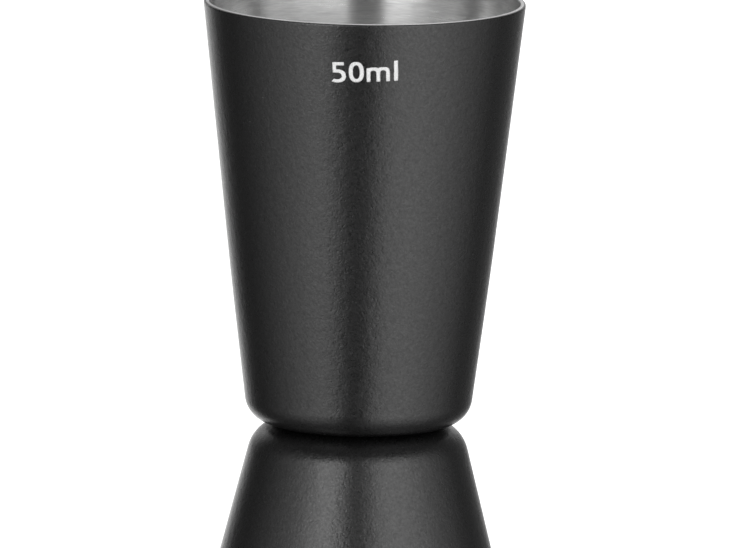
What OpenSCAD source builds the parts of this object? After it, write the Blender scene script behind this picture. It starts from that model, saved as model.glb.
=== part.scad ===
// Double bar jigger: a 50 ml cup and an inverted 25 ml cup, spot welded base to base.
// Origin at the centre of the lower rim, on the surface that the jigger stands on. +Z up.

/* [Upper cup, 50 ml] */
// Outer diameter of the rim
upper_rim_d = 41.8; // [40:0.1:44]
// Height from the seam between the cups to the rim
upper_h = 55.1; // [50:0.1:60]
// Lean of the wall from vertical below the rim, in degrees
upper_lean = 6.45; // [5:0.05:8]
// Extra lean of the wall below its bend, in degrees
upper_tuck = 0.8; // [0.2:0.05:1.5]
// Height of the bend above the seam
upper_bend_h = 19.5; // [15:0.5:25]
// Outer radius of the rounded corner at the base
upper_corner_r = 3.6; // [2.5:0.05:4.5]

/* [Lower cup, 25 ml] */
// Outer diameter of the rim
lower_rim_d = 41.8; // [40:0.1:44]
// Height from the seam between the cups to the rim
lower_h = 29.8; // [28:0.1:32]
// Lean of the wall from vertical, in degrees
lower_lean = 14.15; // [12:0.05:15]
// Outer radius of the rounded corner at the base
lower_corner_r = 4.9; // [3.5:0.05:5.2]

/* [Sheet and coating] */
// Thickness of the drawn steel sheet
sheet_t = 0.6; // [0.5:0.05:0.9]
// Thickness of the black coating on the outside
coat_t = 0.1; // [0.06:0.01:0.12]
// Radius that the outer edge of a rim is rounded to, for the lips
lip_r = 0.3; // [0.2:0.01:0.35]
// Edge radius left by deburring the inner edge of a rim
deburr_r = 0.1; // [0.08:0.01:0.15]

/* [Spot welds] */
// Number of welds that join the bases
weld_count = 3; // [3:1:6]
// Diameter of the circle that the welds lie on
weld_circle_d = 10; // [8:0.5:12]
// Diameter of a weld nugget where the sheets meet
nugget_d = 3; // [2:0.1:3.4]
// Depth that a nugget reaches into each sheet
nugget_depth = 0.35; // [0.2:0.05:0.4]
// Diameter of the dent that the electrode leaves inside each cup
dent_d = 3.8; // [3:0.1:4.2]
// Depth of that dent
dent_depth = 0.08; // [0.04:0.01:0.1]

/* [Capacity marks] */
// Height of the digits
digit_h = 2.72; // [2.2:0.02:3]
// Width of upright strokes
stroke_w = 0.56; // [0.4:0.02:0.7]
// Width of level strokes
level_w = 0.46; // [0.36:0.02:0.6]
// Distance from a rim down to the middle of its mark
mark_drop = 6.2; // [5:0.1:8]
// Slant of a mark from level, in degrees
mark_slant = 2.4; // [0:0.1:3]

/* [Hidden] */
$fn = 96;

// Radius of the gentle bend in a wall, and the steps that its arc is drawn in.
bend_r = 800;
bend_steps = 4;
// Steps in the arc of a base corner, of a rim's rounded outer edge and of its deburred inner edge.
corner_steps = 14;
lip_steps = 10;
edge_steps = 4;
// The coating is whole up to the first of these steps of the lip, and thins out until the second.
coat_whole = 4;
coat_end = 7;
// Room left between the two coatings at the seam.
coat_room = 0.02;
// Angle between the points of a curved stroke in a mark.
stroke_step = 12;
// A mark is cut from this far outside the wall to twice as far inside it.
cut_reach = 1;

// A cup stands on the outside of its steel base here. It is
// [rim radius, height, wall lean, extra lean below the bend, bend height, corner radius].
UPPER = [upper_rim_d / 2, upper_h, upper_lean, upper_tuck, upper_bend_h, upper_corner_r];
LOWER = [lower_rim_d / 2, lower_h, lower_lean, 0, 0, lower_corner_r];
// Both steel surfaces are insets of the finished outer surface.
STEEL_OUT = coat_t;
STEEL_IN = coat_t + sheet_t;

// ---- Geometry of a section

function unit(v) = v / norm(v);
function last(list) = list[len(list) - 1];
function reversed(list) = [for (i = [len(list) - 1:-1:0]) list[i]];

// Points of the arc of radius r that rounds a corner off, from the side of before to that of after.
function rounded(before, corner, after, r, steps) =
    let (
        u = unit(before - corner),
        v = unit(after - corner),
        half = acos(u * v) / 2,
        centre = corner + unit(u + v) * r / sin(half),
        start = corner + u * r / tan(half) - centre,
        turn = (cross(u, v) > 0 ? 1 : -1) * (180 - 2 * half),
        first = atan2(start[1], start[0])
    )
    [for (i = [0:steps]) centre + r * [cos(first - turn * i / steps), sin(first - turn * i / steps)]];

// Radius at height z of the wall above the bend, and of the wall below it, inset by d.
function wall_r(cup, d, z) = cup[0] - (cup[1] - z) * tan(cup[2]) - d / cos(cup[2]);
function tuck_r(cup, d, z) =
    let (lean = cup[2] + cup[3])
    wall_r(cup, 0, cup[4]) - (cup[4] - z) * tan(lean) - d / cos(lean);

// Where those two lines meet, inset by d.
function bend_point(cup, d) =
    let (
        low = cup[2] + cup[3],
        high = cup[2],
        z = cup[4] + d * (1 / cos(low) - 1 / cos(high)) / (tan(low) - tan(high))
    )
    [wall_r(cup, d, z), z];

// Centre of the base corner. The finished surface lies one coat below the steel base.
function corner_centre(cup) =
    let (z = cup[5] - coat_t)
    [tuck_r(cup, 0, z) - cup[5] / cos(cup[2] + cup[3]), z];

// The base corner inset by d, from the given angle around its centre (0 is straight down).
function corner_arc(cup, d, from) =
    let (to = 90 - cup[2] - cup[3])
    [for (i = [0:corner_steps])
        let (a = from + (to - from) * i / corner_steps)
        corner_centre(cup) + (cup[5] - d) * [sin(a), -cos(a)]];

function rim_point(cup, d, z) = [wall_r(cup, d, z), z];

// The side of a cup inset by d: its base corner, then its bend if it has one. It stops short of the rim.
function side(cup, d, from = 0) =
    let (corner = corner_arc(cup, d, from))
    concat(
        corner,
        cup[3] > 0 ? rounded(last(corner), bend_point(cup, d), rim_point(cup, d, cup[1]), bend_r - d, bend_steps) : []
    );

// The rounded outer edge of a rim, up to one of its steps: the steel's surface, or the coating's.
function lip(cup, to, coated) =
    let (
        z = cup[1] - lip_r,
        centre = [wall_r(cup, STEEL_OUT, z) - lip_r / cos(cup[2]), z]
    )
    [for (i = [0:to])
        let (
            a = 90 - cup[2] + (90 + cup[2]) * i / lip_steps,
            thickness = coated ? coat_t * min(1, (coat_end - i) / (coat_end - coat_whole)) : 0
        )
        centre + (lip_r + thickness) * [sin(a), -cos(a)]];

// Half section of the steel, with the rim's outer edge rounded and its inner edge deburred.
function steel_section(cup) =
    let (
        out = side(cup, STEEL_OUT),
        in = side(cup, STEEL_IN),
        rim_out = rim_point(cup, STEEL_OUT, cup[1]),
        rim_in = rim_point(cup, STEEL_IN, cup[1])
    )
    concat(
        [[0, 0]],
        out,
        lip(cup, lip_steps, false),
        rounded(rim_out, rim_in, last(in), deburr_r, edge_steps),
        reversed(in),
        [[0, sheet_t]]
    );

// Half section of the coating, from its place at the seam up to where it thins out on the lip.
function coat_section(cup, seam_out, seam_in, from) =
    concat(
        seam_out,
        side(cup, 0, from),
        lip(cup, coat_end, true),
        reversed(concat(side(cup, STEEL_OUT, from), lip(cup, coat_end - 1, false))),
        seam_in
    );

// The lower corner has to fall away this far before both coatings fit between the cups.
seam_angle = acos(1 - (2 * coat_t + coat_room) / lower_corner_r);
seam_r = (corner_centre(LOWER) + lower_corner_r * [sin(seam_angle), 0])[0];

// ---- Places

// Puts a cup that stands on its base where it belongs in the jigger.
module as_upper() {
    translate([0, 0, lower_h]) children();
}

module as_lower() {
    translate([0, 0, lower_h]) rotate([0, 180, 0]) children();
}

module at_welds() {
    for (i = [0:weld_count - 1])
        rotate([0, 0, 90 + i * 360 / weld_count]) translate([weld_circle_d / 2, 0, 0]) children();
}

// ---- Spot welds

// One nugget, centred on the seam: widest between the sheets, narrower at its ends.
module nugget() {
    tip_r = nugget_d * 0.38;
    rotate_extrude()
        polygon([
            [0, -nugget_depth],
            [tip_r, -nugget_depth],
            [nugget_d / 2, 0],
            [tip_r, nugget_depth],
            [0, nugget_depth]
        ]);
}

module nuggets() {
    translate([0, 0, lower_h]) at_welds() nugget();
}

// The dents of the electrodes in the floor of a cup that stands on its base.
module dents() {
    r = dent_d / 2;
    above = 2 * sheet_t;
    at_welds() translate([0, 0, sheet_t])
        rotate_extrude()
            polygon([[0, -dent_depth], [r * 0.6, -dent_depth], [r, 0], [r, above], [0, above]]);
}

// ---- Capacity marks. Each character stands on the X axis, with its left edge at X = 0.

digit_w = digit_h * 0.7;
m_pitch = digit_h * 0.465;
m_stroke = stroke_w * 0.92;
m_w = 2 * m_pitch + m_stroke;

// Ovals are a little square. At 1 they would be ellipses, and less is squarer.
digit_softness = 0.84;
m_softness = 0.68;
function soft(part, softness) = sign(part) * pow(abs(part), softness);

function oval(rx, ry, from, to, softness = digit_softness) =
    let (steps = ceil(abs(to - from) / stroke_step))
    [for (i = [0:steps])
        let (a = from + (to - from) * i / steps)
        [rx * soft(cos(a), softness), ry * soft(sin(a), softness)]];

// A straight stroke between two points.
module bar(from, to, w) {
    across = unit([from[1] - to[1], to[0] - from[0]]) * w / 2;
    polygon([from + across, from - across, to - across, to + across]);
}

// A stroke along part of an oval. It is w wide where it stands and level_w where it lies.
module bow(centre, rx, ry, from, to, w = stroke_w, softness = digit_softness) {
    across = [w, level_w] / 2;
    translate(centre)
        polygon(concat(
            oval(rx + across[0], ry + across[1], from, to, softness),
            reversed(oval(rx - across[0], ry - across[1], from, to, softness))
        ));
}

module zero() {
    rx = digit_w * 0.52;
    ry = digit_h / 2;
    full = 360 - stroke_step;
    translate([digit_w * 0.51, ry]) difference() {
        polygon(oval(rx, ry, 0, full));
        polygon(oval(rx - stroke_w, ry - level_w, 0, full));
    }
}

module five() {
    left = digit_w * 0.07;
    stem_w = stroke_w * 0.86;
    stem = left + stem_w / 2;
    bowl = [digit_w * 0.46, digit_h * 0.24];
    centre = [digit_w * 0.97 - stroke_w / 2 - bowl[0], level_w / 2 + bowl[1]];
    waist = centre[1] + bowl[1];
    bar([left, digit_h - level_w / 2], [digit_w * 0.87, digit_h - level_w / 2], level_w);
    bar([stem, digit_h - level_w / 2], [stem, waist - level_w / 2], stem_w);
    bar([stem, waist], [centre[0] + 0.01, waist], level_w);
    bow(centre, bowl[0], bowl[1], 90, -130);
}

module two() {
    bowl = [(digit_w - stroke_w) / 2, digit_h * 0.25];
    centre = [digit_w / 2, digit_h - level_w / 2 - bowl[1]];
    hip = -30;
    bow(centre, bowl[0], bowl[1], 165, hip - 20);
    bar(centre + [bowl[0] * cos(hip), bowl[1] * sin(hip)], [stroke_w * 0.6, level_w / 2], stroke_w);
    bar([0, level_w / 2], [digit_w, level_w / 2], level_w);
}

module small_m() {
    top = digit_h * 0.71;
    spring = top - level_w / 2 - m_pitch / 2;
    bar([m_stroke / 2, 0], [m_stroke / 2, top - level_w * 0.1], m_stroke);
    for (i = [0, 1]) {
        middle = m_stroke / 2 + (i + 0.5) * m_pitch;
        leg = middle + m_pitch / 2;
        bow([middle, spring], m_pitch / 2, m_pitch / 2, 0, 180, m_stroke, m_softness);
        bar([leg, 0], [leg, spring + 0.01], m_stroke);
    }
}

module small_l() {
    bar([stroke_w / 2, 0], [stroke_w / 2, digit_h], stroke_w);
}

// A whole mark, centred. The two digits are the children, and the unit follows them.
module mark() {
    space = 0.32;
    m_at = 2 * (digit_w + space) + digit_w * 0.03;
    l_at = m_at + m_w + space * 1.6;
    rotate([0, 0, mark_slant]) translate([-(l_at + stroke_w) / 2, -digit_h / 2]) {
        children(0);
        translate([digit_w + space, 0]) children(1);
        translate([m_at, 0]) small_m();
        translate([l_at, 0]) small_l();
    }
}

// Stands a flat mark against the front of a cup's wall, with the depth to cut through the coating.
module against_wall(cup) {
    z = cup[1] - mark_drop;
    translate([0, -wall_r(cup, 0, z), z])
        rotate([90 + cup[2], 0, 0])
            translate([0, 0, -2 * cut_reach])
                linear_extrude(3 * cut_reach) children();
}

// ---- Sub-parts

// A drawn cup that stands on its base.
module shell(cup) {
    difference() {
        rotate_extrude() polygon(steel_section(cup));
        dents();
    }
}

module upper_cup() {
    color("silver") difference() {
        as_upper() shell(UPPER);
        nuggets();
    }
}

module lower_cup() {
    color("silver") difference() {
        as_lower() shell(LOWER);
        nuggets();
    }
}

module spot_welds() {
    color("gray") nuggets();
}

// Both coatings are cut away where the laser marked them, down to the steel.
module upper_coating() {
    color("#26262a") as_upper() difference() {
        rotate_extrude() polygon(coat_section(UPPER, [[seam_r, -coat_t]], [[seam_r, 0]], 0));
        against_wall(UPPER) mark() {
            five();
            zero();
        }
    }
}

module lower_coating() {
    color("#26262a") as_lower() difference() {
        rotate_extrude() polygon(coat_section(LOWER, [], [], seam_angle));
        against_wall(LOWER) mark() {
            two();
            five();
        }
    }
}

upper_cup();
lower_cup();
spot_welds();
upper_coating();
lower_coating();
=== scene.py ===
"""Looks for the double bar jigger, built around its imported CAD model.

The CAD shells are replaced by finer ones with the same sections, whose marks, rims and weld
dents are real geometry. Lengths are in metres and angles in radians.
"""

from math import acos, ceil, copysign, cos, exp, hypot, pi, radians, sin, tan

import bpy
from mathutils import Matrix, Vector, noise
from mathutils.geometry import delaunay_2d_cdt


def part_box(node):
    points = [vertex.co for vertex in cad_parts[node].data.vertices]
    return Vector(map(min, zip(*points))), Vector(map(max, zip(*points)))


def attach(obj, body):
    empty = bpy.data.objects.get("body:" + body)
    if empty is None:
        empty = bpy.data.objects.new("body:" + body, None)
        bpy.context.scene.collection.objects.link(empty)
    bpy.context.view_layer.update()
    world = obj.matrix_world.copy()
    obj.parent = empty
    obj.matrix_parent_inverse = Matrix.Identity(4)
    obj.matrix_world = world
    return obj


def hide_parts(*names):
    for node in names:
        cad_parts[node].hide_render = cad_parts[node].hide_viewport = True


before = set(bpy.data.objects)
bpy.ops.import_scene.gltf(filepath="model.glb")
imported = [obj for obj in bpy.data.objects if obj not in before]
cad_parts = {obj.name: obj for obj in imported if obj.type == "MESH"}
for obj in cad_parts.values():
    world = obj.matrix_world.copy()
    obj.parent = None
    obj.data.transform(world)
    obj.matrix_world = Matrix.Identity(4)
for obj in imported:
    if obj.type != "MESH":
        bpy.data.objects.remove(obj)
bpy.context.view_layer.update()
MM = 0.001

# ---- Driving dimensions, as the CAD has them. Heights come from the frame.

SEAM_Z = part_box("upper_cup")[0].z
RIM_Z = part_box("upper_cup")[1].z
RIM_R = 20.9 * MM
COAT_T = 0.1 * MM
SHEET_T = 0.6 * MM
LIP_R = 0.3 * MM
DEBURR_R = 0.1 * MM
# The outer edge of a rim is rounded in this many steps. The coating thins out between two of them.
LIP_STEPS = 10
COAT_WHOLE = 4
COAT_END = 7
BEND_R = 800 * MM

WELD_CIRCLE_R = 5 * MM
DENT_R = 1.9 * MM
DENT_DEPTH = 0.08 * MM
# A dent is half as deep at this share of its radius, and its side is this steep.
DENT_EDGE = 0.8
DENT_STEEPNESS = 16
WELD_ANGLES = [radians(a) for a in (90, 210, 330)]

MARK_DROP = 6.2 * MM
MARK_SLANT = radians(2.4)
DIGIT_H = 2.72 * MM
STROKE_W = 0.56 * MM
LEVEL_W = 0.46 * MM

# Turns around the axis are drawn in this many steps, and the parts of a section in these.
STEPS_AROUND = 240
STEP = 2 * pi / STEPS_AROUND
STEEL_CORNER_STEPS = 14
COAT_CORNER_STEPS = 16
DEBURR_STEPS = 6
BASE_ROWS = 6
FLOOR_ROWS = 48
WALL_SPACING = 2 * MM
# The part of a wall around its mark: this many steps to each side, and this far up and down.
PATCH_STEPS = 10
PATCH_HALF_H = 2.4 * MM
PATCH_ROWS = 8

# Heights this close are the same, in metres, and so are points of the flat drawing, in millimetres.
SAME_HEIGHT = 1e-9
SAME_POINT_MM = 1e-6
# Corners of faces that fall in the same cell, this many to a metre, are joined.
CELLS_PER_METRE = 1e7


class Cup:
    """A drawn cup that stands on the outside of its steel base, at height 0."""

    def __init__(self, height, lean, tuck, bend_h, corner_r):
        self.height = height
        self.lean = radians(lean)
        self.low_lean = radians(lean + tuck)
        self.bend_h = bend_h * MM
        self.corner_r = corner_r * MM
        self.corner_z = self.corner_r - COAT_T
        self.flat_r = self.wall_r(0, self.corner_z) - self.corner_r / cos(self.low_lean)
        self.mark_z = height - MARK_DROP

    def wall_r(self, inset, z):
        """Radius of the wall's surface at height z, this far inside the finished outer surface."""
        lean = self.low_lean if z < self.bend_h else self.lean
        bend_r = RIM_R - (self.height - self.bend_h) * tan(self.lean)
        return bend_r - (self.bend_h - z) * tan(lean) - inset / cos(lean)


UPPER = Cup(RIM_Z - SEAM_Z, lean=6.45, tuck=0.8, bend_h=19.5, corner_r=3.6)
LOWER = Cup(SEAM_Z, lean=14.15, tuck=0, bend_h=0, corner_r=4.9)
# The lower corner has to fall away this far before both coatings fit between the cups.
SEAM_ROOM = 2 * COAT_T + 0.02 * MM
SEAM_ANGLE = acos(1 - SEAM_ROOM / LOWER.corner_r)
SEAM_R = LOWER.flat_r + LOWER.corner_r * sin(SEAM_ANGLE)

# ---- Sections. A run is a smooth list of points (r, z, normal r, normal z).
# An angle in a section is 0 straight down and a quarter turn straight out.


def arc(r, z, radius, start, end, steps, side=1):
    """Points of an arc around (r, z). side is -1 where the material is outside it."""
    run = []
    for i in range(steps + 1):
        a = start + (end - start) * i / steps
        run.append((r + radius * sin(a), z - radius * cos(a), side * sin(a), -side * cos(a)))
    return run


def wall(cup, inset, bottom, top, side=1):
    """The straight wall with its gentle bend, from height bottom to height top."""
    fixed = patch_heights(cup)
    levels = {bottom, top}
    levels.update(z for z in fixed if bottom < z < top)
    for i in range(int(cup.height / WALL_SPACING)):
        z = i * WALL_SPACING
        clear_of_ends = bottom + WALL_SPACING / 2 < z < top - WALL_SPACING / 2
        if clear_of_ends and not fixed[0] < z < fixed[-1]:
            levels.add(z)
    run = []
    reach = BEND_R * (cup.low_lean - cup.lean) / 2
    for z in sorted(levels):
        r = cup.wall_r(inset, z)
        lean = cup.low_lean if z < cup.bend_h else cup.lean
        past = abs(z - cup.bend_h)
        if past < reach:
            share = (z - cup.bend_h + reach) / (2 * reach)
            lean = cup.low_lean + (cup.lean - cup.low_lean) * share
            r -= (reach - past) ** 2 / (2 * BEND_R)
        run.append((r, z, side * cos(lean), -side * sin(lean)))
    return run


def patch_heights(cup):
    """The heights of the rows of the part of the wall that carries the mark."""
    low = cup.mark_z - PATCH_HALF_H
    return [low + 2 * PATCH_HALF_H * i / PATCH_ROWS for i in range(PATCH_ROWS + 1)]


def disc(z, radius, rows, up):
    """A flat from the axis out to radius."""
    return [(radius * i / rows, z, 0, up) for i in range(rows + 1)]


def back_to_front(run):
    return run[::-1]


def lip(cup, thickness, last_step, side):
    """The rounded outer edge of a rim, up to one of its steps, under a coating of this thickness."""
    z = cup.height - LIP_R
    r = cup.wall_r(COAT_T, z) - LIP_R / cos(cup.lean)
    start = pi / 2 - cup.lean
    end = start + (pi - start) * last_step / LIP_STEPS
    return arc(r, z, LIP_R + thickness, start, end, last_step, side)


def coated_lip(cup):
    """The coating's surface over the rounded edge, down to the steel where it thins out."""
    bare = lip(cup, 0, COAT_END, 1)
    whole = lip(cup, COAT_T, COAT_END, 1)
    points = []
    for i in range(COAT_END + 1):
        left = min(1, (COAT_END - i) / (COAT_END - COAT_WHOLE))
        points.append(Vector(bare[i][:2]).lerp(Vector(whole[i][:2]), left))
    run = whole[:COAT_WHOLE]
    for i in range(COAT_WHOLE, COAT_END + 1):
        along = (points[min(i + 1, COAT_END)] - points[i - 1]).normalized()
        run.append((*points[i], along.y, -along.x))
    return run


def steel_runs(cup):
    """The section of the steel, from the axis under the base around to the axis inside."""
    outer, inner = COAT_T, COAT_T + SHEET_T
    wall_end = pi / 2 - cup.low_lean
    steps = STEEL_CORNER_STEPS
    corner_out = arc(cup.flat_r, cup.corner_z, cup.corner_r - outer, 0, wall_end, steps)
    corner_in = arc(cup.flat_r, cup.corner_z, cup.corner_r - inner, 0, wall_end, steps, -1)
    edge_out = lip(cup, 0, LIP_STEPS, 1)
    edge_z = cup.height - DEBURR_R
    edge_in_r = cup.wall_r(inner, edge_z) + DEBURR_R / cos(cup.lean)
    edge_in = arc(edge_in_r, edge_z, DEBURR_R, pi, 1.5 * pi - cup.lean, DEBURR_STEPS)
    wall_out = wall(cup, outer, corner_out[-1][1], edge_out[0][1])
    wall_in = wall(cup, inner, corner_in[-1][1], edge_in[-1][1], -1)
    return [
        ("base", disc(0, cup.flat_r, BASE_ROWS, -1) + corner_out[1:]),
        ("wall", wall_out),
        ("rim", edge_out + edge_in),
        ("inside", back_to_front(wall_in)),
        ("inside", back_to_front(corner_in)),
        ("floor", back_to_front(disc(SHEET_T, cup.flat_r, FLOOR_ROWS, 1))),
    ]


def coat_runs(cup, seam_angle):
    """The section of the coating, around from the seam and back to it."""
    wall_end = pi / 2 - cup.low_lean
    steps, bare_r = COAT_CORNER_STEPS, cup.corner_r - COAT_T
    corner_out = arc(cup.flat_r, cup.corner_z, cup.corner_r, seam_angle, wall_end, steps)
    corner_in = arc(cup.flat_r, cup.corner_z, bare_r, seam_angle, wall_end, steps, -1)
    edge_out = coated_lip(cup)
    edge_in = lip(cup, 0, COAT_END, -1)
    wall_out = wall(cup, 0, corner_out[-1][1], edge_out[0][1])
    wall_in = wall(cup, COAT_T, corner_in[-1][1], edge_in[0][1], -1)
    runs = [
        ("corner", corner_out),
        ("wall", wall_out),
        ("edge", edge_out),
        ("inner edge", back_to_front(edge_in)),
        ("inner wall", back_to_front(wall_in)),
        ("inner corner", back_to_front(corner_in)),
    ]
    start, end = corner_out[0], corner_in[0]
    if seam_angle == 0:
        flat_out = [(SEAM_R, start[1], 0, -1), (start[0], start[1], 0, -1)]
        flat_in = [(end[0], end[1], 0, 1), (SEAM_R, end[1], 0, 1)]
        runs = [("flat", flat_out)] + runs + [("inner flat", flat_in)]
        start, end = flat_out[0], flat_in[-1]
    across = Vector((end[0] - start[0], end[1] - start[1])).normalized()
    facing = (-across.y, across.x)
    runs.append(("seam", [(*end[:2], *facing), (*start[:2], *facing)]))
    return runs


# ---- Capacity marks, drawn flat around their own middle, in metres.
# Bare fractions in a glyph are shares of a digit's width or height, or of a stroke.

DIGIT_W = DIGIT_H * 0.7
M_PITCH = DIGIT_H * 0.465
M_STROKE = STROKE_W * 0.92
# Ovals are a little square. At 1 they would be ellipses, and less is squarer.
DIGIT_SOFTNESS = 0.84
M_SOFTNESS = 0.68
# Bows are drawn in steps of this many degrees. A bar's corners are rounded by this share of its width.
BOW_STEP = 6
BAR_CORNER = 0.16
GLYPH_SPACE = 0.32 * MM
# The laser's raster leaves an edge that wanders this far, at this many wavelengths to the metre.
# Its points lie no further apart than the outline step. Without the seed, each run's would differ.
WANDER = 0.022 * MM
WANDER_RATE = 4200
OUTLINE_STEP = 0.12 * MM
noise.seed_set(1)


def bar(start, end, width):
    """Outline of a straight stroke with slightly rounded corners."""
    start, end = Vector(start), Vector(end)
    along = (end - start).normalized()
    across = Vector((-along.y, along.x)) * (width / 2)
    radius = width * BAR_CORNER
    outline = []
    for corner, before, after in (
        (start + across, across, -along),
        (start - across, -along, -across),
        (end - across, -across, along),
        (end + across, along, across),
    ):
        before, after = before.normalized(), after.normalized()
        centre = corner - (before + after) * radius
        for i in range(4):
            a = i / 3 * pi / 2
            outline.append(centre + before * radius * cos(a) + after * radius * sin(a))
    return outline


def soft(part, softness):
    """A sine or cosine, changed so that an oval drawn with it is squarer."""
    return copysign(abs(part) ** softness, part)


def bow(centre, rx, ry, start, end, width=STROKE_W, softness=DIGIT_SOFTNESS):
    """Outline of a stroke along part of an oval."""
    steps = ceil(abs(end - start) / BOW_STEP)
    angles = [radians(start + (end - start) * i / steps) for i in range(steps + 1)]
    sides = ((width / 2, LEVEL_W / 2, angles), (-width / 2, -LEVEL_W / 2, angles[::-1]))
    outline = []
    for dx, dy, way in sides:
        for a in way:
            x = centre[0] + (rx + dx) * soft(cos(a), softness)
            y = centre[1] + (ry + dy) * soft(sin(a), softness)
            outline.append(Vector((x, y)))
    return outline


def zero():
    centre = (DIGIT_W * 0.51, DIGIT_H / 2)
    middle = (DIGIT_W * 0.52 - STROKE_W / 2, DIGIT_H / 2 - LEVEL_W / 2)
    return [bow(centre, *middle, 0, 181), bow(centre, *middle, 180, 361)]


def five():
    left = DIGIT_W * 0.07
    stem_w = STROKE_W * 0.86
    stem = left + stem_w / 2
    bowl = (DIGIT_W * 0.46, DIGIT_H * 0.24)
    centre = (DIGIT_W * 0.97 - STROKE_W / 2 - bowl[0], LEVEL_W / 2 + bowl[1])
    waist = centre[1] + bowl[1]
    top = DIGIT_H - LEVEL_W / 2
    return [
        bar((left, top), (DIGIT_W * 0.87, top), LEVEL_W),
        bar((stem, DIGIT_H), (stem, waist - LEVEL_W / 2), stem_w),
        bar((stem, waist), (centre[0] + STROKE_W * 0.2, waist), LEVEL_W),
        bow(centre, *bowl, 90, -130),
    ]


def two():
    bowl = ((DIGIT_W - STROKE_W) / 2, DIGIT_H * 0.25)
    centre = (DIGIT_W / 2, DIGIT_H - LEVEL_W / 2 - bowl[1])
    hip = radians(-30)
    hip_point = (centre[0] + bowl[0] * cos(hip), centre[1] + bowl[1] * sin(hip))
    return [
        bow(centre, *bowl, 165, -50),
        bar(hip_point, (STROKE_W * 0.6, LEVEL_W / 2), STROKE_W),
        bar((0, LEVEL_W / 2), (DIGIT_W, LEVEL_W / 2), LEVEL_W),
    ]


def small_m():
    top = DIGIT_H * 0.71
    spring = top - LEVEL_W / 2 - M_PITCH / 2
    strokes = [bar((M_STROKE / 2, 0), (M_STROKE / 2, top - LEVEL_W * 0.1), M_STROKE)]
    for i in (0, 1):
        middle = M_STROKE / 2 + (i + 0.5) * M_PITCH
        leg = middle + M_PITCH / 2
        strokes.append(bow((middle, spring), M_PITCH / 2, M_PITCH / 2, 0, 180, M_STROKE, M_SOFTNESS))
        strokes.append(bar((leg, 0), (leg, spring + M_STROKE * 0.2), M_STROKE))
    return strokes


def small_l():
    return [bar((STROKE_W / 2, 0), (STROKE_W / 2, DIGIT_H), STROKE_W)]


def rough_edge(point):
    """The point of an outline, moved by the wander of the laser's edge."""
    wander = noise.noise_vector(Vector((point.x, point.y, 0)) * WANDER_RATE)
    return point + Vector((wander.x, wander.y)) * WANDER


def finely(outline):
    """The outline with points no further apart than the wander needs."""
    points = []
    for a, b in zip(outline, outline[1:] + outline[:1]):
        parts = max(1, ceil((b - a).length / OUTLINE_STEP))
        points += [a.lerp(b, i / parts) for i in range(parts)]
    return points


def mark(first, second):
    """Outlines of the strokes of a whole mark: two digits and the unit."""
    m_at = 2 * (DIGIT_W + GLYPH_SPACE) + DIGIT_W * 0.03
    l_at = m_at + 2 * M_PITCH + M_STROKE + GLYPH_SPACE * 1.6
    width = l_at + STROKE_W
    strokes = []
    places = ((first, 0), (second, DIGIT_W + GLYPH_SPACE), (small_m(), m_at), (small_l(), l_at))
    for glyph, at in places:
        for outline in glyph:
            moved = [p + Vector((at - width / 2, -DIGIT_H / 2)) for p in finely(outline)]
            strokes.append([rough_edge(turned(p, MARK_SLANT)) for p in moved])
    return strokes


def turned(p, angle):
    return Vector((p.x * cos(angle) - p.y * sin(angle), p.x * sin(angle) + p.y * cos(angle)))


def inside(point, outline):
    """Whether the point lies inside the closed outline."""
    hit = False
    for a, b in zip(outline, outline[1:] + outline[:1]):
        if (a.y > point.y) != (b.y > point.y):
            if point.x < a.x + (point.y - a.y) * (b.x - a.x) / (b.y - a.y):
                hit = not hit
    return hit


class Patch:
    """The part of a wall around its mark, cut into triangles along the mark's outlines.

    Its points are (angle around the axis from the front, height).
    """

    def __init__(self, cup, strokes):
        self.r = cup.wall_r(0, cup.mark_z)
        self.lean = cup.lean
        self.middle = cup.mark_z
        columns = [STEP * i for i in range(-PATCH_STEPS, PATCH_STEPS + 1)]
        grid = [(a, z) for z in patch_heights(cup) for a in columns]
        points = [self.flat(p) for p in grid]
        edges = []
        for outline in strokes:
            first = len(points)
            points += [p / MM for p in outline]
            count = len(outline)
            edges += [(first + i, first + (i + 1) % count) for i in range(count)]
        found, _, triangles, origins, *_ = delaunay_2d_cdt(points, edges, [], 0, SAME_POINT_MM)
        self.points = []
        for point, origin in zip(found, origins):
            known = [i for i in origin if i < len(grid)]
            self.points.append(grid[known[0]] if known else self.around(point))
        self.triangles = [tuple(t) for t in triangles]
        boxes = [(min(p.x for p in s), max(p.x for p in s), s) for s in strokes]
        self.marked = []
        for t in self.triangles:
            middle = sum((found[i] for i in t), Vector((0, 0))) / 3 * MM
            near = [s for low, high, s in boxes if low < middle.x < high]
            self.marked.append(any(inside(middle, s) for s in near))

    def flat(self, point):
        """The drawing's coordinates, in millimetres, of an angle and a height."""
        return Vector((point[0] * self.r, (point[1] - self.middle) / cos(self.lean))) / MM

    def around(self, point):
        return (point.x * MM / self.r, self.middle + point.y * MM * cos(self.lean))

    def edges(self):
        """Pairs of points along the mark's outline, with the mark on their left."""
        sides = {}
        for t, marked in zip(self.triangles, self.marked):
            for a, b in zip(t, t[1:] + t[:1]):
                sides[(a, b)] = marked
        return [pair for pair, marked in sides.items() if marked and not sides.get(pair[::-1], True)]


# ---- Meshes

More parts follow.
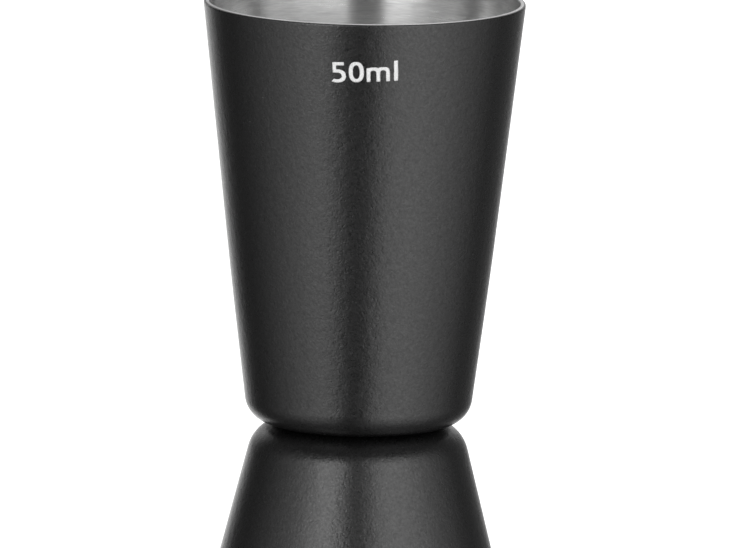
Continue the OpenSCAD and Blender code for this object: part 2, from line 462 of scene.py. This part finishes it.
class Skin:
    """Collects faces with a normal at each corner, and joins corners at the same place."""

    def __init__(self, place):
        self.place = place
        self.index = {}
        self.points = []
        self.faces = []
        self.normals = []
        self.materials = []

    def add(self, corners, material=0):
        """Adds a face. A corner is (angle around, r, z, normal r, normal z, normal sideways)."""
        face = []
        normals = []
        for around, r, z, nr, nz, ns in corners:
            out = Vector((sin(around), -cos(around), 0))
            sideways = Vector((cos(around), sin(around), 0))
            point = self.place(out * r + Vector((0, 0, z)))
            key = tuple(round(c * CELLS_PER_METRE) for c in point)
            if key not in self.index:
                self.index[key] = len(self.points)
                self.points.append(point)
            if self.index[key] in face:
                continue
            face.append(self.index[key])
            normals.append(self.place(out * nr + sideways * ns + Vector((0, 0, nz))) - self.place(Vector()))
        if len(face) > 2:
            self.faces.append(face)
            self.normals += normals
            self.materials.append(material)

    def build(self, name, materials):
        mesh = bpy.data.meshes.new(name)
        mesh.from_pydata(self.points, [], self.faces)
        for material in materials:
            mesh.materials.append(material)
        mesh.polygons.foreach_set("material_index", self.materials)
        mesh.polygons.foreach_set("use_smooth", [True] * len(self.faces))
        mesh.normals_split_custom_set([n.normalized() for n in self.normals])
        mesh.validate()
        piece = bpy.data.objects.new(name, mesh)
        bpy.context.scene.collection.objects.link(piece)
        return piece


def as_upper(point):
    return Vector((point.x, point.y, SEAM_Z + point.z))


def as_lower(point):
    return Vector((-point.x, point.y, SEAM_Z - point.z))


def in_patch(cup, a, b, step):
    """Whether a wall face between section points a and b belongs to the mark's patch."""
    heights = patch_heights(cup)
    low, high = min(a[1], b[1]), max(a[1], b[1])
    beside = min(step, STEPS_AROUND - 1 - step) < PATCH_STEPS
    return beside and low > heights[0] - SAME_HEIGHT and high < heights[-1] + SAME_HEIGHT


def turn(skin, cup, runs, patched, surface=None):
    """Turns the runs of a section around the axis, leaving out the patch."""
    for name, run in runs:
        for a, b in zip(run, run[1:]):
            for step in range(STEPS_AROUND):
                if name in patched and in_patch(cup, a, b, step):
                    continue
                near, far = step * STEP, (step + 1) * STEP
                if step + 1 > STEPS_AROUND / 2:
                    near, far = near - 2 * pi, far - 2 * pi
                corners = [(near, *a), (far, *a), (far, *b), (near, *b)]
                skin.add([bent(c, surface if name == "floor" else None) for c in corners])


def bent(corner, surface):
    """The corner with its sideways normal, moved onto the surface where there is one."""
    around, r, z, nr, nz = corner
    if surface is None:
        return (around, r, z, nr, nz, 0)
    x, y = r * sin(around), -r * cos(around)
    reach = 0.01 * MM
    rise = surface(x, y)
    slope_x = (surface(x + reach, y) - rise) / reach
    slope_y = (surface(x, y + reach) - rise) / reach
    slope_r = slope_x * sin(around) - slope_y * cos(around)
    slope_s = slope_x * cos(around) + slope_y * sin(around)
    return (around, r, z + rise, -slope_r, 1, -slope_s)


def dents(x, y):
    """Depth of the electrodes' dents in a cup's floor."""
    depth = 0
    for angle in WELD_ANGLES:
        away = hypot(x - WELD_CIRCLE_R * cos(angle), y - WELD_CIRCLE_R * sin(angle)) / DENT_R
        depth -= DENT_DEPTH / (1 + exp((away - DENT_EDGE) * DENT_STEEPNESS))
    return depth


def lay_patch(skin, cup, patch, inset, side, marked_material=None):
    """Adds a patch's triangles. Marked ones are left out unless they have a material."""
    nr, nz = side * cos(cup.lean), -side * sin(cup.lean)
    for triangle, marked in zip(patch.triangles, patch.marked):
        if marked and marked_material is None:
            continue
        order = triangle if side > 0 else triangle[::-1]
        places = (patch.points[i] for i in order)
        corners = [(a, cup.wall_r(inset, z), z, nr, nz, 0) for a, z in places]
        skin.add(corners, marked_material if marked else 0)


def wall_of_marks(skin, cup, patch):
    """The cut faces of the coating around each mark."""
    for a, b in patch.edges():
        (a1, z1), (a2, z2) = patch.points[a], patch.points[b]
        along = Vector(((a2 - a1) * patch.r, z2 - z1)).normalized()
        ns, nz = -along.y, along.x
        out1, out2 = cup.wall_r(0, z1), cup.wall_r(0, z2)
        in1, in2 = cup.wall_r(COAT_T, z1), cup.wall_r(COAT_T, z2)
        corners = [(a1, out1, z1), (a2, out2, z2), (a2, in2, z2), (a1, in1, z1)]
        skin.add([(*c, 0, nz, ns) for c in corners])


def steel_piece(name, cup, place, patch, steel, etched):
    skin = Skin(place)
    turn(skin, cup, steel_runs(cup), ["wall"], dents)
    lay_patch(skin, cup, patch, COAT_T, 1, marked_material=1)
    return skin.build(name, [steel, etched])


def coat_piece(name, cup, place, patch, seam_angle, coat):
    skin = Skin(place)
    turn(skin, cup, coat_runs(cup, seam_angle), ["wall", "inner wall"])
    lay_patch(skin, cup, patch, 0, 1)
    lay_patch(skin, cup, patch, COAT_T, -1)
    wall_of_marks(skin, cup, patch)
    return skin.build(name, [coat])


# ---- Materials

class Nodes:
    """A short way to write a node tree."""

    def __init__(self, owner):
        owner.use_nodes = True
        self.tree = owner.node_tree
        self.tree.nodes.clear()

    def new(self, kind, inputs=None, **settings):
        node = self.tree.nodes.new(kind)
        for key, value in settings.items():
            setattr(node, key, value)
        for key, value in (inputs or {}).items():
            if isinstance(value, bpy.types.NodeSocket):
                self.tree.links.new(value, node.inputs[key])
            else:
                node.inputs[key].default_value = value
        return node

    def math(self, operation, a, b=0.0):
        return self.new("ShaderNodeMath", {0: a, 1: b}, operation=operation).outputs[0]

    def product(self, first, *others):
        for other in others:
            first = self.math("MULTIPLY", first, other)
        return first

    def sum(self, first, *others):
        for other in others:
            first = self.math("ADD", first, other)
        return first

    def noise(self, vector, scale, detail=2.0, roughness=0.5):
        node = self.new(
            "ShaderNodeTexNoise",
            {"Vector": vector, "Scale": scale, "Detail": detail, "Roughness": roughness},
        )
        return node.outputs["Fac"]

    def mix(self, factor, first, second):
        """A colour between two others, which are colours or sockets."""
        inputs = {"Factor": factor}
        for key, colour in ((6, first), (7, second)):
            inputs[key] = (*colour, 1) if isinstance(colour, tuple) else colour
        return self.new("ShaderNodeMix", inputs, data_type="RGBA").outputs[2]

    def spread(self, value, low, high, to_low, to_high):
        node = self.new(
            "ShaderNodeMapRange",
            {
                "Value": value, "From Min": low, "From Max": high,
                "To Min": to_low, "To Max": to_high,
            },
        )
        return node.outputs[0]

    def fade(self, value, none, full):
        """0 at none and 1 at full, in a straight line, and level beyond them."""
        return self.spread(value, none, full, 0.0, 1.0)

    def span(self, share, low, high):
        """From low to high as share goes from 0 to 1."""
        return self.spread(share, 0.0, 1.0, low, high)

    def smooth(self, value, none, full):
        """0 at none and 1 at full, with a soft start and end."""
        node = self.new(
            "ShaderNodeMapRange", {"Value": value, "From Min": none, "From Max": full},
            interpolation_type="SMOOTHSTEP",
        )
        return node.outputs[0]

    def bump(self, height, distance, normal=None):
        inputs = {"Height": height, "Distance": distance, "Strength": 1.0}
        if normal:
            inputs["Normal"] = normal
        return self.new("ShaderNodeBump", inputs).outputs["Normal"]


def material(name):
    made = bpy.data.materials.new(name)
    return made, Nodes(made)


def finish_shader(nodes, inputs):
    shader = nodes.new("ShaderNodeBsdfPrincipled", inputs)
    nodes.new("ShaderNodeOutputMaterial", {"Surface": shader.outputs[0]})


def brush_lines(nodes, around, across):
    """Coordinates in which noise draws lines around the axis, on walls and floors alike.

    around is how fast the lines change along themselves, and across how close they lie, per metre.
    """
    place = nodes.new("ShaderNodeTexCoord").outputs["Object"]
    x, y, z = nodes.new("ShaderNodeSeparateXYZ", {0: place}).outputs
    r = nodes.math("SQRT", nodes.sum(nodes.product(x, x), nodes.product(y, y)))
    per_turn = nodes.math("DIVIDE", around, nodes.math("MAXIMUM", r, 1e-5))
    return nodes.new("ShaderNodeCombineXYZ", {
        0: nodes.product(x, per_turn),
        1: nodes.product(y, per_turn),
        2: nodes.product(nodes.sum(z, r), across),
    }).outputs[0]


def brushed_steel():
    """Stainless sheet, brushed around the axis."""
    made, nodes = material("brushed_steel")
    fine = nodes.noise(brush_lines(nodes, 11.0, 5200), 1.0, 3.0, 0.6)
    broad = nodes.noise(brush_lines(nodes, 3.0, 1100), 1.0, 2.0)
    tone = nodes.sum(nodes.product(fine, 0.6), nodes.product(broad, 0.4))
    pale = nodes.fade(tone, 0.32, 0.68)
    finish_shader(nodes, {
        "Base Color": nodes.mix(pale, (0.57, 0.57, 0.57), (0.8, 0.8, 0.795)),
        "Metallic": 1.0,
        "Roughness": nodes.spread(tone, 0.3, 0.7, 0.33, 0.26),
        "Anisotropic": 0.8,
        "Anisotropic Rotation": 0.25,
        "Tangent": nodes.new("ShaderNodeTangent", direction_type="RADIAL", axis="Z").outputs[0],
        "Normal": nodes.bump(fine, 0.0006 * MM),
    })
    return made


def etched_steel():
    """Steel that the laser laid bare: frosted and pale, with the traces of its raster."""
    made, nodes = material("etched_steel")
    place = nodes.new("ShaderNodeTexCoord").outputs["Object"]
    fleck = nodes.noise(place, 5200, 3.0, 0.65)
    pale = nodes.fade(fleck, 0.35, 0.65)
    finish_shader(nodes, {
        "Base Color": nodes.mix(pale, (0.7, 0.7, 0.7), (0.86, 0.86, 0.86)),
        "Metallic": 0.25,
        "Roughness": nodes.spread(fleck, 0.35, 0.65, 0.62, 0.5),
        "Normal": nodes.bump(fleck, 0.01 * MM),
    })
    return made


def black_coating():
    """Satin powder coating: a soft orange peel, a fine grain in it, and a speck here and there."""
    made, nodes = material("black_coating")
    place = nodes.new("ShaderNodeTexCoord").outputs["Object"]
    peel = nodes.noise(place, 1000, 2.0)
    grain = nodes.noise(place, 3600, 2.0, 0.6)
    sand = nodes.noise(place, 7000, 1.0)
    gloss = nodes.noise(place, 2800, 2.0, 0.7)
    specks = nodes.new("ShaderNodeTexVoronoi", {"Vector": place, "Scale": 620.0})
    near = nodes.smooth(specks.outputs["Distance"], 0.055, 0.03)
    chance = nodes.new("ShaderNodeSeparateXYZ", {0: specks.outputs["Color"]}).outputs[0]
    rare = nodes.math("GREATER_THAN", chance, 0.9)
    speck = nodes.product(near, rare)
    black = nodes.mix(grain, (0.0018, 0.0018, 0.0019), (0.0034, 0.0034, 0.0035))
    relief = nodes.bump(grain, 0.032 * MM, nodes.bump(peel, 0.038 * MM))
    finish_shader(nodes, {
        "Base Color": nodes.mix(speck, black, (0.09, 0.09, 0.09)),
        "Roughness": nodes.spread(grain, 0.3, 0.7, 0.26, 0.34),
        "IOR": 1.8,
        "Specular IOR Level": nodes.spread(gloss, 0.3, 0.7, 0.4, 0.6),
        "Normal": nodes.bump(sand, 0.01 * MM, relief),
    })
    return made


def weld_steel():
    """The nuggets between the bases: dull, with the ripples of a quick weld."""
    made, nodes = material("weld_steel")
    place = nodes.new("ShaderNodeTexCoord").outputs["Object"]
    ripple = nodes.noise(place, 2500, 3.0)
    finish_shader(nodes, {
        "Base Color": nodes.mix(ripple, (0.3, 0.27, 0.24), (0.5, 0.48, 0.47)),
        "Metallic": 1.0,
        "Roughness": nodes.spread(ripple, 0.3, 0.7, 0.5, 0.7),
        "Normal": nodes.bump(ripple, 0.02 * MM),
    })
    return made


# ---- Stage

CAMERA_DISTANCE = 1.99
CAMERA_ELEVATION = radians(9.95)
CAMERA_AROUND = radians(-0.45)
CAMERA_ROLL = radians(0.91)
LENS_MM = 753.8
# The middle of the view lies this far right of and above the middle of the seam.
VIEW_RIGHT = 0.65 * MM
VIEW_UP = 19.06 * MM


def direction(around, elevation):
    """A unit vector. around is 0 towards the front and grows to the right."""
    return Vector((sin(around) * cos(elevation), -cos(around) * cos(elevation), sin(elevation)))


def add_camera():
    seam = Vector((0, 0, SEAM_Z))
    away = direction(CAMERA_AROUND, CAMERA_ELEVATION)
    right = Vector((cos(CAMERA_AROUND), sin(CAMERA_AROUND), 0))
    up = away.cross(right)
    data = bpy.data.cameras.new("camera")
    data.lens = LENS_MM
    data.clip_end = 20
    camera = bpy.data.objects.new("camera", data)
    bpy.context.scene.collection.objects.link(camera)
    camera.location = seam + away * CAMERA_DISTANCE
    target = seam + right * VIEW_RIGHT + up * VIEW_UP
    look = (target - camera.location).to_track_quat("-Z", "Y")
    camera.rotation_euler = look.to_euler()
    camera.rotation_euler.rotate_axis("Z", CAMERA_ROLL)
    bpy.context.scene.camera = camera


# Radiance of the lights, by direction.
LEFT_LIGHT = 1.09
LEFT_HOT_SPOT = 1.55
RIGHT_LIGHT = 1.08
RIGHT_HOT_SPOT = 0.5
BACK_LIGHT = 1.7
WING_LIGHT = 0.5
LEFT_SPILL = 0.035
RIGHT_SPILL = 0.12
OVERHEAD_LIGHT = 1.2
REST_LIGHT = 0.03
# The ceiling panel, which is there to light the floor, and lights the jigger as well.
CEILING_SIZE = 4.0
CEILING_HEIGHT = 2.5
CEILING_LIGHT = 2.6


def add_lights():
    """A ceiling panel that lights the floor. It shows in no reflection."""
    data = bpy.data.lights.new("ceiling", "AREA")
    data.shape = "SQUARE"
    data.size = CEILING_SIZE
    data.energy = CEILING_LIGHT * pi * data.size ** 2
    light = bpy.data.objects.new("ceiling", data)
    bpy.context.scene.collection.objects.link(light)
    light.location = (0, 0, CEILING_HEIGHT)
    light.visible_camera = False
    light.visible_glossy = False


# The lights' shapes. Directions are in degrees: around from the front to the right, and up from level.

def below_table(nodes, up):
    """The softboxes reach down past the table's top and fade out there."""
    return nodes.smooth(up, -90, -15)


def hot_height(nodes, up):
    """The softboxes' hot spots grow brighter upwards."""
    return nodes.fade(up, -26, 18)


def left_softbox(nodes, around, up):
    """It leans out at its foot, and ends in a clean edge."""
    leaning = nodes.math("SUBTRACT", around, nodes.product(nodes.math("MINIMUM", up, 0.0), 0.3))
    end = nodes.span(nodes.smooth(around, -80, -76), 0.75, 1)
    even = nodes.product(nodes.fade(around, -110, -20), end, LEFT_LIGHT)
    hot = nodes.product(nodes.smooth(around, -60, -28), hot_height(nodes, up), LEFT_HOT_SPOT)
    inner_edge, top = nodes.smooth(leaning, -14, -17), nodes.smooth(up, 42, 20)
    return nodes.product(inner_edge, below_table(nodes, up), top, nodes.sum(even, hot))


def right_softbox(nodes, around, up):
    even = nodes.product(nodes.fade(around, 117, 45), RIGHT_LIGHT)
    hot = nodes.product(nodes.smooth(around, 80, 40), hot_height(nodes, up), RIGHT_HOT_SPOT)
    inner_edge, top = nodes.smooth(around, 10.5, 13.5), nodes.smooth(up, 50, 24)
    return nodes.product(inner_edge, below_table(nodes, up), top, nodes.sum(even, hot))


def off_backdrop(nodes, around):
    """Degrees from the backdrop's middle, which is behind and a little to one side."""
    one_way = nodes.math("ABSOLUTE", nodes.sum(around, 174))
    other_way = nodes.math("ABSOLUTE", nodes.sum(around, -186))
    return nodes.math("MINIMUM", one_way, other_way)


def backdrop(nodes, off_middle, up):
    """It is dim above the level of the eye, and brighter again near its top."""
    low = nodes.span(nodes.smooth(up, 8, -5), 0.2, 1)
    high = nodes.product(nodes.smooth(up, 22, 34), 0.5)
    height = nodes.product(nodes.sum(low, high), nodes.smooth(up, 55, 40))
    foot = nodes.smooth(up, -85, -45)
    return nodes.product(nodes.smooth(off_middle, 36, 2), height, foot, BACK_LIGHT)


def wings(nodes, off_middle, up):
    """Two lights over the backdrop, one to each side of its middle."""
    across = nodes.product(nodes.smooth(off_middle, 5, 14), nodes.smooth(off_middle, 38, 20))
    return nodes.product(across, nodes.smooth(up, 0, 12), nodes.smooth(up, 60, 35), WING_LIGHT)


def spill(nodes, around, up):
    """What little light comes from the sides, past the softboxes."""
    left = nodes.product(nodes.smooth(around, -50, -110), LEFT_SPILL)
    right = nodes.product(nodes.smooth(around, 100, 150), RIGHT_SPILL)
    return nodes.product(nodes.sum(left, right), nodes.smooth(up, -90, -40))


def overhead(nodes, back, up):
    """A light high up behind. back is the direction's part away from the front."""
    share = nodes.span(nodes.smooth(back, 0.05, 0.35), 0.05, 1)
    return nodes.product(nodes.smooth(up, 45, 62), share, OVERHEAD_LIGHT)


def add_world():
    """White for the camera, and the studio's lights for the jigger."""
    world = bpy.data.worlds.new("studio")
    bpy.context.scene.world = world
    nodes = Nodes(world)
    ray = nodes.new("ShaderNodeTexCoord").outputs["Generated"]
    x, y, z = nodes.new("ShaderNodeSeparateXYZ", {0: ray}).outputs
    around = nodes.math("DEGREES", nodes.math("ARCTAN2", x, nodes.product(y, -1.0)))
    up = nodes.math("DEGREES", nodes.math("ARCSINE", z))
    off_middle = off_backdrop(nodes, around)
    total = nodes.sum(
        left_softbox(nodes, around, up),
        right_softbox(nodes, around, up),
        backdrop(nodes, off_middle, up),
        wings(nodes, off_middle, up),
        spill(nodes, around, up),
        overhead(nodes, y, up),
        REST_LIGHT,
    )
    camera = nodes.new("ShaderNodeLightPath").outputs["Is Camera Ray"]
    strength = nodes.math("MAXIMUM", total, camera)
    background = nodes.new("ShaderNodeBackground", {"Color": (1, 1, 1, 1), "Strength": strength})
    nodes.new("ShaderNodeOutputWorld", {"Surface": background.outputs[0]})


def add_floor():
    half = 4.0
    corners = [(-half, -half, 0), (half, -half, 0), (half, half, 0), (-half, half, 0)]
    mesh = bpy.data.meshes.new("floor")
    mesh.from_pydata(corners, [], [(0, 1, 2, 3)])
    floor = bpy.data.objects.new("floor", mesh)
    bpy.context.scene.collection.objects.link(floor)
    made, nodes = material("pale_floor")
    shader = nodes.new("ShaderNodeBsdfDiffuse", {"Color": (0.9, 0.9, 0.9, 1)})
    nodes.new("ShaderNodeOutputMaterial", {"Surface": shader.outputs[0]})
    mesh.materials.append(made)
    # The softboxes reach below the table's top, so it neither shades them nor hides their reflections.
    floor.visible_glossy = False
    floor.visible_shadow = False


# ---- The jigger

def add_jigger():
    steel, etched, coat = brushed_steel(), etched_steel(), black_coating()
    upper_patch = Patch(UPPER, mark(five(), zero()))
    lower_patch = Patch(LOWER, mark(two(), five()))
    upper = (UPPER, as_upper, upper_patch)
    lower = (LOWER, as_lower, lower_patch)
    pieces = (
        (steel_piece("upper_cup_steel", *upper, steel, etched), "upper_cup", "cup_steel"),
        (steel_piece("lower_cup_steel", *lower, steel, etched), "lower_cup", "cup_steel"),
        (coat_piece("upper_coating_skin", *upper, 0, coat), "upper_coating", "black_coating"),
        (coat_piece("lower_coating_skin", *lower, SEAM_ANGLE, coat), "lower_coating", "black_coating"),
    )
    for piece, node, slot in pieces:
        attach(piece, "root")
        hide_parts(node)
    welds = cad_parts["spot_welds"]
    welds.data.materials.clear()
    welds.data.materials.append(weld_steel())


scene = bpy.context.scene
scene.view_settings.view_transform = "Standard"
add_world()
add_lights()
add_floor()
add_camera()
add_jigger()
